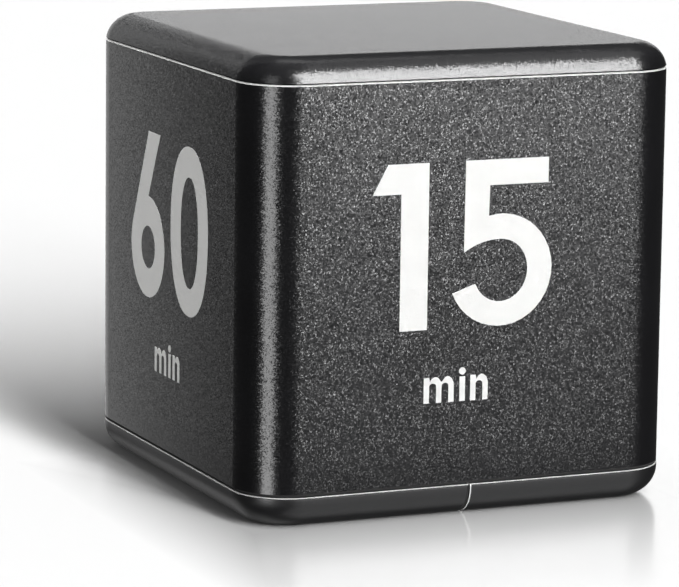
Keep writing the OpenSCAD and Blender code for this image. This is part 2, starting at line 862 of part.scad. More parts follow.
module tilt_can(i) {
  color("#c3c6c9")
    at_tilt(i)
      rotate([0, 90, 0])
        difference() {
          cylinder(d = tilt_d, h = tilt_l);
          translate([0, 0, -cut]) cylinder(r = tilt_bore_r, h = tilt_l - tilt_wall + cut);
        }
}

// Plug with two pins that turn down to the board
module tilt_plug(i) {
  pin_y = tilt_bore_r/2;
  color("#2a3f63")
    at_tilt(i) {
      rotate([0, 90, 0]) cylinder(r = tilt_bore_r - ball_play, h = plug_l);
      for (y = [-pin_y, pin_y])
        translate([0, y, 0]) bent_pin(pin_d, plug_l + pin_stub, tilt_z - board_z1);
    }
}

// Ball at the end of its can beside the plug, resting on the can's wall
module tilt_ball(i) {
  color("#d9dbde")
    at_tilt(i) translate([ball_rest, 0, -ball_drop]) sphere(d = ball_d);
}

// Pan head screw with its head below z = 0 and a cross recess in the head
module screw(d, l, head_d, head_h) {
  recess_w = 0.45;
  recess_l = head_d - 1.4;
  difference() {
    translate([0, 0, -head_h]) rotate_extrude() rim_section(head_d/2, head_h, head_h/2, 0, 0);
    for (a = [0, 90])
      rotate(a) plate(recess_l, recess_w, -head_h - cut, -head_h/2);
  }
  translate([0, 0, -head_h/4]) cylinder(d = d, h = l + head_h/4);
}

module base_screws() {
  color("#8d9095")
    at_posts()
      translate([0, 0, screw_seat])
        screw(screw_d, screw_l - fit_gap, screw_head_d, screw_head_h);
}

module board_screws() {
  shank_l = board_t + board_screw_l - fit_gap;
  color("#8d9095")
    at_board_posts()
      translate([0, 0, board_z1])
        rotate([180, 0, 0]) screw(board_screw_d, shank_l, board_head_d, board_head_h);
}

body_shell();
top_cap();
base();
battery_door();
cell_inner();
cell_outer();
positive_contact();
negative_contact();
bridge_contact();
negative_spring();
bridge_spring();
red_lead();
black_lead();
main_board();
controller_chip();
clock_crystal();
display_window();
display_glass();
display_strip();
display_holder();
switch_body();
switch_lever();
switch_knob();
sounder();
tilt_can(0);  // tilt_can_right
tilt_can(1);  // tilt_can_back
tilt_can(2);  // tilt_can_left
tilt_can(3);  // tilt_can_front
tilt_plug(0);  // tilt_plug_right
tilt_plug(1);  // tilt_plug_back
tilt_plug(2);  // tilt_plug_left
tilt_plug(3);  // tilt_plug_front
tilt_ball(0);  // tilt_ball_right
tilt_ball(1);  // tilt_ball_back
tilt_ball(2);  // tilt_ball_left
tilt_ball(3);  // tilt_ball_front
base_screws();
board_screws();
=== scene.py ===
"""Looks of the cube timer: grained mouldings, printed durations, a small display, cells and fittings."""
import math

import bpy
from mathutils import Matrix, Vector


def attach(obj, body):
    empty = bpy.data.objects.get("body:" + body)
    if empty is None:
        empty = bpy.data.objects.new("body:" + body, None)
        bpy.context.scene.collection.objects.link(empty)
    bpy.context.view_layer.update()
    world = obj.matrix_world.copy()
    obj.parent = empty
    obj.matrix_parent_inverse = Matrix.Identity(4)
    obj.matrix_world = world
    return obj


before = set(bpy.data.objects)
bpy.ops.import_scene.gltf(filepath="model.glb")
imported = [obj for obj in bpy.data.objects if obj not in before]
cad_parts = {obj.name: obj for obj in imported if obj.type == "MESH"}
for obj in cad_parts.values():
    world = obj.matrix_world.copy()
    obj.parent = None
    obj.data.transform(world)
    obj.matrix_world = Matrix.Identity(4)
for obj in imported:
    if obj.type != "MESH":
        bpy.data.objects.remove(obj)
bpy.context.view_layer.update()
scene = bpy.context.scene
scene.view_settings.view_transform = "Standard"

MM = 0.001

# Camera, at the photograph's angle: turn from the front, tilt and roll, then its place, lens and sensor in mm
CAMERA_TURN, CAMERA_TILT, CAMERA_ROLL = math.radians(-23.618), math.radians(10.181), math.radians(0.744)
CAMERA_PLACE = (-244.016, -544.286, 133.438)
CAMERA_LENS, CAMERA_SENSOR = 217.38, 36

bpy.ops.object.camera_add()
camera = bpy.context.object
camera.name = "camera"
camera.data.sensor_width = CAMERA_SENSOR
camera.data.lens = CAMERA_LENS
camera.matrix_world = (Matrix.Translation(Vector(CAMERA_PLACE) * MM)
                       @ Matrix.Rotation(CAMERA_TURN, 4, "Z")
                       @ Matrix.Rotation(math.pi / 2 - CAMERA_TILT, 4, "X")
                       @ Matrix.Rotation(CAMERA_ROLL, 4, "Z"))
scene.camera = camera


def span(node, axis):
    """Lowest and highest place of a CAD node along an axis, in mm."""
    places = [corner["XYZ".index(axis)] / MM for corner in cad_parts[node].bound_box]
    return min(places), max(places)


def linear(code):
    """Turns an sRGB hex colour to linear red, green, blue and alpha."""
    parts = [int(code[i:i + 2], 16) / 255 for i in (1, 3, 5)]
    return tuple(c / 12.92 if c <= 0.04045 else ((c + 0.055) / 1.055) ** 2.4 for c in parts) + (1.0,)


def darker(colour, share):
    """A linear colour times a share, with its alpha kept."""
    return tuple(share * c for c in colour[:3]) + (1.0,)


def add(tree, kind, links=None, values=None, **settings):
    """Adds one node with its settings, the values of its sockets and the outputs that feed it."""
    new = tree.nodes.new("ShaderNode" + kind)
    for name, value in settings.items():
        setattr(new, name, value)
    for socket, value in (values or {}).items():
        new.inputs[socket].default_value = value
    for socket, source in (links or {}).items():
        tree.links.new(source, new.inputs[socket])
    return new


# Sockets of a colour mix: its two colours and its result
MIX_A, MIX_B, MIX_OUT = 6, 7, 2


def surface(name, **values):
    """Starts a material and returns it with its tree, its shader and the piece's own coordinates."""
    material = bpy.data.materials.new(name)
    material.use_nodes = True
    tree = material.node_tree
    shader = tree.nodes["Principled BSDF"]
    for socket, value in values.items():
        shader.inputs[socket.replace("_", " ")].default_value = value
    place = add(tree, "TexCoord").outputs["Object"]
    return material, tree, shader, place


def dress(tree, last, **sources):
    """Feeds the sockets of a last node, such as a shader, from the outputs of other nodes."""
    for socket, source in sources.items():
        tree.links.new(source, last.inputs[socket.replace("_", " ")])


# Parting lines get painted colour: a painted highlight where an edge catches the light, or painted shade in a
# gap
PAINTED_HIGHLIGHT, SHADE = "#f2f2f0", "#020202"
# Steepest turn towards a line's own axis at which a surface still counts as its edge, as a part of the normal
EDGE_TURN = 0.85


def line_masks(tree, place, lines):
    """Masks of a piece's PAINTED_HIGHLIGHT lines and SHADE lines, for those kinds that it has.

    Each line is (axis, middle, half width, kind) in mm. A highlight line is a painted highlight along an
    edge, without the flat face behind, and a shade line is painted shade over the whole rim of a gap.
    """
    masks = {}
    for axis, middle, half, kind in lines:
        at = add(tree, "SeparateXYZ", {"Vector": place}).outputs[axis]
        mask = add(tree, "Math", {0: at}, {1: middle * MM, 2: half * MM}, operation="COMPARE").outputs[0]
        if kind == PAINTED_HIGHLIGHT:
            turn = add(tree, "SeparateXYZ", {"Vector": place.node.outputs["Normal"]}).outputs[axis]
            edge = add(tree, "Math", {0: turn}, {1: 0.0, 2: EDGE_TURN}, operation="COMPARE").outputs[0]
            mask = add(tree, "Math", {0: mask, 1: edge}, operation="MULTIPLY").outputs[0]
        if kind in masks:
            mask = add(tree, "Math", {0: masks[kind], 1: mask}, operation="MAXIMUM").outputs[0]
        masks[kind] = mask
    return masks


# Facets of the spark-eroded grain, drawn coarser than the real ones, which are too fine to show
FACET = 0.15 * MM
# Share of the facets' lean that is left at the lower end of a fade
FADED = 0.45


def grained_abs(name, lean, shine, lines, fade=None):
    """ABS moulded in a spark-eroded tool: near black, with tiny facets that break lamps into glints.

    Lean is how far most facets lean along each axis, and what is added for the few that lean far. Shine is
    the range of roughness from facet to facet. Fade is two heights in mm between which the lean comes up.
    """
    cloud_size = 12 * MM
    material, tree, shader, place = surface(name, IOR=1.5)
    facet = add(tree, "TexVoronoi", {"Vector": place}, {"Scale": 1 / FACET}).outputs["Color"]
    cloud = add(tree, "TexNoise", {"Vector": place}, {"Scale": 1 / cloud_size, "Detail": 2.0})
    colour = add(tree, "Mix", {0: cloud.outputs[0]}, {MIX_A: linear("#0d0d0e"), MIX_B: linear("#19191b")},
                 data_type="RGBA").outputs[MIX_OUT]
    rough = add(tree, "MapRange", {"Value": facet}, {"To Min": shine[0], "To Max": shine[1]}).outputs[0]
    # The parting lines are painted over the black: a painted highlight on edges, and painted shade in gaps,
    # made rough too
    masks = line_masks(tree, place, lines)
    for kind in (SHADE, PAINTED_HIGHLIGHT):
        if kind in masks:
            colour = add(tree, "Mix", {0: masks[kind], MIX_A: colour}, {MIX_B: linear(kind)},
                         data_type="RGBA").outputs[MIX_OUT]
    if SHADE in masks:
        rough = add(tree, "Math", {0: rough, 1: masks[SHADE]}, operation="MAXIMUM").outputs[0]
    most, few = lean
    centred = add(tree, "VectorMath", {0: facet}, {1: (0.5, 0.5, 0.5)}, operation="SUBTRACT").outputs[0]
    square = add(tree, "VectorMath", {0: centred, 1: centred}, operation="MULTIPLY").outputs[0]
    slope = add(tree, "VectorMath", {0: square}, {1: few, 2: most}, operation="MULTIPLY_ADD").outputs[0]
    if fade:
        height = add(tree, "SeparateXYZ", {"Vector": place}).outputs["Z"]
        risen = add(tree, "MapRange", {"Value": height},
                    {"From Min": fade[0] * MM, "From Max": fade[1] * MM, "To Min": FADED}).outputs[0]
        slope = add(tree, "VectorMath", {0: slope, "Scale": risen}, operation="SCALE").outputs[0]
    smooth = add(tree, "NewGeometry").outputs["Normal"]
    leaning = add(tree, "VectorMath", {0: centred, 1: slope, 2: smooth}, operation="MULTIPLY_ADD").outputs[0]
    facing = add(tree, "VectorMath", {0: leaning}, operation="NORMALIZE").outputs[0]
    dress(tree, shader, Base_Color=colour, Roughness=rough, Normal=facing)
    return material


def screen_ink(name, code):
    """Screen printed ink: an even flat coat that the mesh of the screen leaves faintly stippled."""
    mesh, patch, thin_coat, relief = 0.35 * MM, 4 * MM, 0.93, 0.004 * MM
    material, tree, shader, place = surface(name, IOR=1.48)
    stipple = add(tree, "TexNoise", {"Vector": place}, {"Scale": 1 / mesh, "Detail": 1.0}).outputs[0]
    patches = add(tree, "TexNoise", {"Vector": place}, {"Scale": 1 / patch, "Detail": 2.0}).outputs[0]
    full = linear(code)
    colour = add(tree, "Mix", {0: patches}, {MIX_A: full, MIX_B: darker(full, thin_coat)}, data_type="RGBA")
    rough = add(tree, "MapRange", {"Value": stipple}, {"To Min": 0.38, "To Max": 0.52})
    bump = add(tree, "Bump", {"Height": stipple}, {"Distance": relief})
    dress(tree, shader, Base_Color=colour.outputs[MIX_OUT], Roughness=rough.outputs[0],
          Normal=bump.outputs[0])
    return material


def plain_moulding(name, dark, light, rough, grain, **values):
    """A moulded plastic or rubber with a fine even grain, given in mm, and slight flow clouds."""
    flow_size, spread, relief = 4 * MM, 0.06, 0.08 * grain * MM
    material, tree, shader, place = surface(name, **values)
    fine = add(tree, "TexNoise", {"Vector": place}, {"Scale": 1 / (grain * MM), "Detail": 2.0}).outputs[0]
    flow = add(tree, "TexNoise", {"Vector": place}, {"Scale": 1 / flow_size, "Detail": 2.0}).outputs[0]
    colour = add(tree, "Mix", {0: flow}, {MIX_A: linear(dark), MIX_B: linear(light)}, data_type="RGBA")
    shine = add(tree, "MapRange", {"Value": fine}, {"To Min": rough - spread, "To Max": rough + spread})
    bump = add(tree, "Bump", {"Height": fine}, {"Distance": relief})
    dress(tree, shader, Base_Color=colour.outputs[MIX_OUT], Roughness=shine.outputs[0],
          Normal=bump.outputs[0])
    return material


def drawn_metal(name, dark, light, rough, stretch):
    """Drawn or plated sheet metal: fine lines along the way it was drawn, and dull patches from handling."""
    line_size, patch_size, spread, relief = 0.12 * MM, 2.5 * MM, 0.08, 0.003 * MM
    material, tree, shader, place = surface(name, Metallic=1.0)
    along = add(tree, "Mapping", {"Vector": place}, {"Scale": stretch}).outputs[0]
    lines = add(tree, "TexNoise", {"Vector": along}, {"Scale": 1 / line_size, "Detail": 2.0}).outputs[0]
    patch = add(tree, "TexNoise", {"Vector": place}, {"Scale": 1 / patch_size, "Detail": 3.0}).outputs[0]
    colour = add(tree, "Mix", {0: patch}, {MIX_A: linear(dark), MIX_B: linear(light)}, data_type="RGBA")
    shine = add(tree, "MapRange", {"Value": lines}, {"To Min": rough - spread, "To Max": rough + spread})
    bump = add(tree, "Bump", {"Height": lines}, {"Distance": relief})
    dress(tree, shader, Base_Color=colour.outputs[MIX_OUT], Roughness=shine.outputs[0],
          Normal=bump.outputs[0])
    return material


def banded(name, base, axis, bands):
    """A sleeve or a moulding with bare metal or print in bands along one axis.

    Each band is (middle, half width, colour, whether it is metal) in mm, and lies over the base colour.
    """
    grit, flow_size, worn, relief = 0.3 * MM, 3 * MM, 0.8, 0.006 * MM
    material, tree, shader, place = surface(name)
    at = add(tree, "SeparateXYZ", {"Vector": place}).outputs[axis]
    fine = add(tree, "TexNoise", {"Vector": place}, {"Scale": 1 / grit, "Detail": 2.0}).outputs[0]
    flow = add(tree, "TexNoise", {"Vector": place}, {"Scale": 1 / flow_size, "Detail": 2.0}).outputs[0]
    fresh = linear(base)
    colour = add(tree, "Mix", {0: flow}, {MIX_A: fresh, MIX_B: darker(fresh, worn)},
                 data_type="RGBA").outputs[MIX_OUT]
    metal = None
    for middle, half, code, is_metal in bands:
        inside = add(tree, "Math", {0: at}, {1: middle * MM, 2: half * MM}, operation="COMPARE").outputs[0]
        colour = add(tree, "Mix", {0: inside, MIX_A: colour}, {MIX_B: linear(code)},
                     data_type="RGBA").outputs[MIX_OUT]
        if is_metal and metal is not None:
            inside = add(tree, "Math", {0: metal, 1: inside}, operation="MAXIMUM").outputs[0]
        if is_metal:
            metal = inside
    shine = add(tree, "MapRange", {"Value": fine}, {"To Min": 0.28, "To Max": 0.42})
    bump = add(tree, "Bump", {"Height": fine}, {"Distance": relief})
    dress(tree, shader, Base_Color=colour, Metallic=metal, Roughness=shine.outputs[0], Normal=bump.outputs[0])
    return material


def coated_laminate(name):
    """Glass laminate under green solder mask: a faint weave, and copper tracks that show through lighter."""
    thread, track_pitch, relief = 2.2 * MM, 5 * MM, 0.03 * MM
    blank, line = (0, 0, 0, 1), (1, 1, 1, 1)
    material, tree, shader, place = surface(name, IOR=1.55, Coat_Weight=0.4, Coat_Roughness=0.15)
    warp, weft = [add(tree, "TexWave", {"Vector": place}, {"Scale": 1 / thread, "Distortion": 0.6},
                      wave_type="BANDS", bands_direction=way).outputs[1] for way in "XY"]
    weave = add(tree, "Math", {0: warp, 1: weft}, operation="MULTIPLY").outputs[0]
    tracks = add(tree, "TexBrick", {"Vector": place},
                 {"Color1": blank, "Color2": blank, "Mortar": line, "Scale": 1 / track_pitch,
                  "Mortar Size": 0.02, "Brick Width": 0.7, "Row Height": 0.32}).outputs[0]
    mask = add(tree, "Mix", {0: weave}, {MIX_A: linear("#0f4d26"), MIX_B: linear("#17612f")},
               data_type="RGBA").outputs[MIX_OUT]
    colour = add(tree, "Mix", {0: tracks, MIX_A: mask}, {MIX_B: linear("#3d8a4c")}, data_type="RGBA")
    shine = add(tree, "MapRange", {"Value": weave}, {"To Min": 0.3, "To Max": 0.4})
    bump = add(tree, "Bump", {"Height": tracks}, {"Distance": relief})
    dress(tree, shader, Base_Color=colour.outputs[MIX_OUT], Roughness=shine.outputs[0],
          Normal=bump.outputs[0])
    return material


def clear_acrylic(name):
    """Cut acrylic sheet: clear with a cool tint, and polished but for faint rubbing."""
    rub_size = 1.5 * MM
    material, tree, shader, place = surface(name, IOR=1.49, Transmission_Weight=1.0)
    rub = add(tree, "TexNoise", {"Vector": place}, {"Scale": 1 / rub_size, "Detail": 3.0}).outputs[0]
    tint = add(tree, "Mix", {0: rub}, {MIX_A: linear("#f2f6f4"), MIX_B: linear("#e9f0ee")}, data_type="RGBA")
    shine = add(tree, "MapRange", {"Value": rub}, {"To Min": 0.02, "To Max": 0.06})
    dress(tree, shader, Base_Color=tint.outputs[MIX_OUT], Roughness=shine.outputs[0])
    return material


# Lean and shine of the two black finishes. On walls and cap the facets that lean far do so mainly up and
# down, as the mould drags the grain when it opens, and the base and its door are almost smooth
GRAINED = ((0.065, 0.065, 0.06), (0.4, 0.4, 1.0)), (0.15, 0.27)
SATIN = ((0.02, 0.02, 0.02), (0, 0, 0)), (0.32, 0.42)
# Heights between which the body's grain comes up from its foot
BODY_FADE = (5, 11)

# Parting lines: a painted highlight along the upper edge of each seam's lower piece and along the door's
# split, and painted shade across the gaps. The split stands at the middle of the front, where X is 0
body_foot, body_top = span("body_shell", "Z")
band_top = span("battery_door", "Z")[1]
BAND_EDGE_HIGHLIGHT = ("Z", band_top - 0.045, 0.075, PAINTED_HIGHLIGHT)
BODY_LINES = [("Z", body_top - 0.07, 0.14, PAINTED_HIGHLIGHT), ("Z", body_foot + 0.12, 0.14, SHADE)]
BASE_LINES = [BAND_EDGE_HIGHLIGHT, ("X", -0.24, 0.16, SHADE)]
DOOR_LINES = [BAND_EDGE_HIGHLIGHT, ("X", 0.19, 0.1, PAINTED_HIGHLIGHT)]

# Cells, in mm from the end of the cap: bare metal at cap and foot, and a ring printed on the sleeve
SLEEVE, CAN, RING = "#8d9499", "#b9b6b0", "#30343a"
CELL_BANDS = ((0.85, 1.2, CAN, True), (44.25, 0.5, CAN, True), (9.35, 2.0, RING, False))


def cell_bands(cap_end, inward):
    """Bands of a cell whose cap ends at a place along Y and whose foot lies inward from there."""
    return [(cap_end + inward * middle, half, code, metal) for middle, half, code, metal in CELL_BANDS]


# Legs of the chip stick out on both sides of its package
LEG_INSET, LEG_HALF, LEG_TIN = 0.4, 0.62, "#b4b6b6"
chip_left, chip_right = span("controller_chip", "X")
CHIP_LEGS = [(at, LEG_HALF, LEG_TIN, True) for at in (chip_left + LEG_INSET, chip_right - LEG_INSET)]

tin = drawn_metal("tin_plate_drawn", "#9da0a1", "#b9bcbd", 0.32, (1, 1, 0.1))
nickel = drawn_metal("nickel_plated_steel", "#a8a39a", "#c3beb4", 0.26, (1, 0.1, 1))
zinc = drawn_metal("zinc_plated_steel", "#85888b", "#a3a6a9", 0.34, (1, 1, 0.2))
ball = drawn_metal("bearing_steel_polished", "#bfc1c2", "#cfd1d2", 0.12, (1, 1, 1))
plug = plain_moulding("nylon_blue_moulded", "#1c2f57", "#243a68", 0.42, 0.3, IOR=1.53)
knob = plain_moulding("acetal_grey_moulded", "#3a3b3d", "#46474a", 0.38, 0.25, IOR=1.48)
finishes = {
    "body_shell": grained_abs("abs_black_spark_grain_body", *GRAINED, BODY_LINES, BODY_FADE),
    "top_cap": grained_abs("abs_black_spark_grain_cap", *GRAINED, []),
    "base": grained_abs("abs_black_satin_base", *SATIN, BASE_LINES),
    "battery_door": grained_abs("abs_black_satin_door", *SATIN, DOOR_LINES),
    "cell_inner": banded("cell_sleeve_inner", SLEEVE, "Y", cell_bands(span("cell_inner", "Y")[0], 1)),
    "cell_outer": banded("cell_sleeve_outer", SLEEVE, "Y", cell_bands(span("cell_outer", "Y")[1], -1)),
    "positive_contact": nickel,
    "negative_contact": nickel,
    "bridge_contact": nickel,
    "negative_spring": nickel,
    "bridge_spring": nickel,
    "red_lead": plain_moulding("pvc_red_extruded", "#9c1712", "#b3201a", 0.36, 0.4, IOR=1.53),
    "black_lead": plain_moulding("pvc_black_extruded", "#131314", "#1d1d1f", 0.36, 0.4, IOR=1.53),
    "main_board": coated_laminate("glass_laminate_green_mask"),
    "controller_chip": banded("epoxy_black_moulded", "#1b1b1c", "X", CHIP_LEGS),
    "sounder": plain_moulding("pbt_black_moulded", "#151516", "#202022", 0.45, 0.3, IOR=1.55),
    "clock_crystal": tin,
    "switch_body": tin,
    "display_window": clear_acrylic("acrylic_clear_cut"),
    "display_glass": plain_moulding("display_glass_grey_green", "#8d9785", "#97a18e", 0.2, 0.5, IOR=1.52,
                                    Coat_Weight=1.0, Coat_Roughness=0.04),
    "display_strip": plain_moulding("silicone_pink_cut", "#b5746a", "#c28278", 0.55, 0.3, IOR=1.41),
    "display_holder": plain_moulding("abs_white_moulded", "#d8d6cf", "#e4e2dc", 0.42, 0.3, IOR=1.5),
    "switch_lever": knob,
    "switch_knob": knob,
    "base_screws": zinc,
    "board_screws": zinc,
}
for side in ("right", "back", "left", "front"):
    finishes["tilt_can_" + side] = tin
    finishes["tilt_plug_" + side] = plug
    finishes["tilt_ball_" + side] = ball
for name, finish in finishes.items():
    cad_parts[name].material_slots[0].material = finish


def arc(middle, radii, start, end, power=2.0, steps=28):
    """Points in mm along an oval from one angle to another; a power above 2 makes the oval squarer."""
    points = []
    for i in range(steps + 1):
        angle = math.radians(start + (end - start) * i / steps)
        across, along = math.cos(angle), math.sin(angle)
        points.append((middle[0] + radii[0] * math.copysign(abs(across) ** (2 / power), across),
                       middle[1] + radii[1] * math.copysign(abs(along) ** (2 / power), along)))
    return points


def moved(outlines, du, dv):
    """The outlines shifted across and up."""
    return [[(u + du, v + dv) for u, v in points] for points in outlines]


# Roundness of the numerals' ovals that are squarer than plain ones, and of the arches in the word for minutes
SQUARER = 2.2

# Numerals of the durations, each as closed outlines in mm on the wall: across, and up from the underside
ONE = [[(-13.3, 50.84), (-7.03, 50.84), (-7.03, 27.23), (-11.25, 27.23), (-11.25, 46.6), (-15.61, 46.6)]]
FIVE = [[(-1.41, 50.87), (11.45, 50.87), (11.45, 47.25), (2.37, 47.25)]
        + arc((4.2, 35.15), (8.0, 8.0), 104, -158)
        + arc((4.2, 35.1), (4.2, 4.45), -157, 90)
        + arc((3.9, 30.05), (9.5, 9.5), 90, 124.7, steps=10)]
SIX = [[(-8.31, 51.0), (-3.66, 50.95), (-8.31, 41.51)]
       + arc((-8.52, 33.93), (6.71, 7.5), 88, -212),
       arc((-8.4, 33.85), (2.75, 3.15), 0, 352, steps=44)]
NOUGHT = [arc((7.87, 38.58), (7.25, 12.25), 0, 355, SQUARER, 70),
          arc((7.96, 38.4), (3.35, 8.04), 0, 354, SQUARER, 58)]
THREE = [arc((-8.5, 44.3), (6.3, 6.55), 160, -38)
         + arc((-8.6, 34.6), (6.9, 7.4), 48, -160)
         + arc((-8.6, 34.6), (3.1, 3.6), -160, 90)
         + [(-10.6, 38.2), (-10.6, 41.35)]
         + arc((-8.5, 44.3), (2.7, 2.95), -90, 160)]

# The word for minutes, in mm: thickness and height of its strokes, and how high its arches are, how far they
# rise above the stems and how thick they are
STROKE, TALL = 0.83, 3.65
ARCH, ARCH_OVER, ARCH_UNDER = 1.35, 0.06, 0.84
# Angles at which an arch leaves its stem, and at which it meets a next arch
ARCH_START, ARCH_MEET = 150, 30


def arches(*stems):
    """One closed outline of a letter with round arches between upright stems, given by their left edges."""
    top = []
    under = []
    foot = TALL - ARCH
    for left, right in zip(stems, stems[1:]):
        inner = left + STROKE
        outer = right + STROKE
        end = 0 if right == stems[-1] else ARCH_MEET
        over = ((outer - inner) / 2, ARCH + ARCH_OVER)
        top += arc(((inner + outer) / 2, foot), over, ARCH_START, end, steps=16)
        hollow = ((right - inner) / 2, ARCH - ARCH_UNDER)
        gap = arc(((inner + right) / 2, foot), hollow, 0, 180, SQUARER, 12)
        under = [(right, 0)] + gap + [(inner, 0)] + under
    last_edge = stems[-1] + STROKE
    return [(stems[0], 0), (stems[0], TALL), (stems[0] + STROKE, TALL)] + top + [(last_edge, 0)] + under


MINUTES = [arches(0.05, 1.97, 3.87), [(5.59, 0), (5.59, 3.54), (6.45, 3.54), (6.45, 0)],
           arc((6.0, 4.32), (0.52, 0.52), 0, 345, steps=22), arches(7.26, 9.16)]

# Points of an outline that lie closer than this are merged
MERGE = 0.002 * MM


def flat_piece(name, outlines, thickness, matrix, finish, body):
    """Makes outlines into a thin closed mesh, places it and lets it ride on a body."""
    curve = bpy.data.curves.new(name, "CURVE")
    curve.dimensions = "2D"
    curve.fill_mode = "BOTH"
    curve.extrude = thickness / 2
    for points in outlines:
        line = curve.splines.new("POLY")
        line.points.add(len(points) - 1)
        line.use_cyclic_u = True
        for knot, (u, v) in zip(line.points, points):
            knot.co = (u * MM, v * MM, 0, 1)
    piece = bpy.data.objects.new(name, curve)
    scene.collection.objects.link(piece)
    bpy.ops.object.select_all(action="DESELECT")
    piece.select_set(True)
    bpy.context.view_layer.objects.active = piece
    bpy.ops.object.convert(target="MESH")
    piece = bpy.context.object
    piece.name = name
    piece.matrix_world = matrix
    bpy.ops.object.transform_apply(location=True, rotation=True, scale=True)
    bpy.ops.object.mode_set(mode="EDIT")
    bpy.ops.mesh.select_all(action="SELECT")
    bpy.ops.mesh.remove_doubles(threshold=MERGE)
    bpy.ops.mesh.normals_make_consistent(inside=False)
    bpy.ops.object.mode_set(mode="OBJECT")
    piece.data.materials.clear()
    piece.data.materials.append(finish)
    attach(piece, body)


# Print on the walls: a thin coat, a little of it sunk into the wall
INK, INK_SUNK = 0.035 * MM, 0.01 * MM
WALL = span("body_shell", "X")[1] * MM
white_ink = screen_ink("screen_ink_white", "#f6f6f4")
# Each wall: its turn from the front, its numerals, and where the word for minutes starts
walls = {
    "front": (0, ONE + FIVE, (-7.42, 16.7)),
    "left": (-90, SIX + NOUGHT, (-5.55, 15.98)),
    "right": (90, THREE + NOUGHT, (-5.2, 16.3)),
    "back": (180, moved(FIVE, -4.45, 0), (-5.07, 16.3)),
}
for wall, (turn, numerals, word) in walls.items():
    onto = (Matrix.Rotation(math.radians(turn), 4, "Z")
            @ Matrix.Translation((0, -(WALL - INK_SUNK + INK / 2), 0))
            @ Matrix.Rotation(math.pi / 2, 4, "X"))
    flat_piece("duration_" + wall, numerals, INK, onto, white_ink, "housing")
    flat_piece("minutes_" + wall, moved(MINUTES, *word), INK, onto, white_ink, "housing")

# Display digits, in mm from the middle of the glass: bars of a nought, and the two dots of the colon
BAR, BAR_GAP = 0.62, 0.1
DIGIT_W, DIGIT_H = 2.9, 5.4
DIGIT_AT = (-7.45, -3.75, 0.85, 4.55)
COLON_AT, COLON_DOT = (-1.2, 1.2), 0.36
# They lie just under the glass and are read from below with the door side up
SEGMENT, SEGMENT_UNDER = 0.03, 0.03
READ_FROM_BELOW = Matrix(((0, 1, 0, 0), (1, 0, 0, 0), (0, 0, -1, 0), (0, 0, 0, 1)))


def bar(start, end):
    """A six-sided bar of a digit from one point to another."""
    along = Vector((end[0] - start[0], end[1] - start[1])).normalized()
    side = Vector((-along.y, along.x)) * BAR / 2
    a, b = Vector(start) + along * BAR_GAP, Vector(end) - along * BAR_GAP
    tip = along * BAR / 2
    return [tuple(p) for p in (a, a + tip + side, b - tip + side, b, b - tip - side, a + tip - side)]


digits = []
for left in DIGIT_AT:
    x0, x1, y0, y1 = left, left + DIGIT_W, -DIGIT_H / 2, DIGIT_H / 2
    for start, end in (((x0, y1), (x1, y1)), ((x1, y1), (x1, 0)), ((x1, 0), (x1, y0)), ((x0, y0), (x1, y0)),
                       ((x0, 0), (x0, y0)), ((x0, y1), (x0, 0))):
        digits.append(bar(start, end))
for height in COLON_AT:
    digits.append(arc((0, height), (COLON_DOT, COLON_DOT), 0, 330, steps=11))
segment_ink = screen_ink("display_segment_dark", "#23272a")
glass_x, glass_y, glass_z = [span("display_glass", axis) for axis in "XYZ"]
under_glass = Vector((sum(glass_x) / 2, sum(glass_y) / 2, glass_z[0] - SEGMENT_UNDER)) * MM
flat_piece("display_digits", digits, SEGMENT * MM, Matrix.Translation(under_glass) @ READ_FROM_BELOW,
           segment_ink, "housing")

# Floor: a wide white sweep just under the object
FLOOR_SIZE, FLOOR_DROP = 8, 0.02 * MM
# Its polish by the object, and where that starts to fade and where it is gone, in mm from the object's middle
POLISH = 2.1
POLISH_FRONT, POLISH_SIDE, POLISH_BACK = (33, 80), (33, 48.7), (-10.7, 22.9)


def white_sweep(name):
    """Painted sweep: matt white, with a polish that mirrors the object close by, and clear from below."""
    material, tree, shader, place = surface(name)
    tree.nodes.remove(shader)
    at = add(tree, "SeparateXYZ", {"Vector": place})
    before = add(tree, "Math", {0: at.outputs["Y"]}, {1: -1.0}, operation="MULTIPLY").outputs[0]
    beside = add(tree, "Math", {0: at.outputs["X"]}, operation="ABSOLUTE").outputs[0]
    behind = at.outputs["Y"]
    polish = None
    for way, (full, gone) in ((before, POLISH_FRONT), (beside, POLISH_SIDE), (behind, POLISH_BACK)):
        fade = add(tree, "MapRange", {"Value": way},
                   {"From Min": full * MM, "From Max": gone * MM, "To Min": POLISH, "To Max": 0.0}).outputs[0]
        if polish is not None:
            fade = add(tree, "Math", {0: polish, 1: fade}, operation="MINIMUM").outputs[0]
        polish = fade
    gloss = add(tree, "Fresnel", values={"IOR": 1.45}).outputs[0]
    share = add(tree, "Math", {0: polish, 1: gloss}, operation="MULTIPLY").outputs[0]
    matt = add(tree, "BsdfDiffuse", values={"Color": (0.8, 0.8, 0.8, 1)}).outputs[0]
    mirror = add(tree, "BsdfAnisotropic", values={"Color": (1, 1, 1, 1), "Roughness": 0.18}).outputs[0]
    white = add(tree, "MixShader", {0: share, 1: matt, 2: mirror}).outputs[0]
    clear = add(tree, "BsdfTransparent").outputs[0]
    below = add(tree, "NewGeometry").outputs["Backfacing"]
    both = add(tree, "MixShader", {0: below, 1: white, 2: clear}).outputs[0]
    dress(tree, tree.nodes["Material Output"], Surface=both)
    return material


bpy.ops.object.select_all(action="DESELECT")
bpy.ops.mesh.primitive_plane_add(size=FLOOR_SIZE, location=(0, 0, -FLOOR_DROP))
floor = bpy.context.object
floor.name = "floor"
floor.visible_glossy = False
floor.visible_diffuse = False
floor.data.materials.append(white_sweep("floor_white_sweep"))

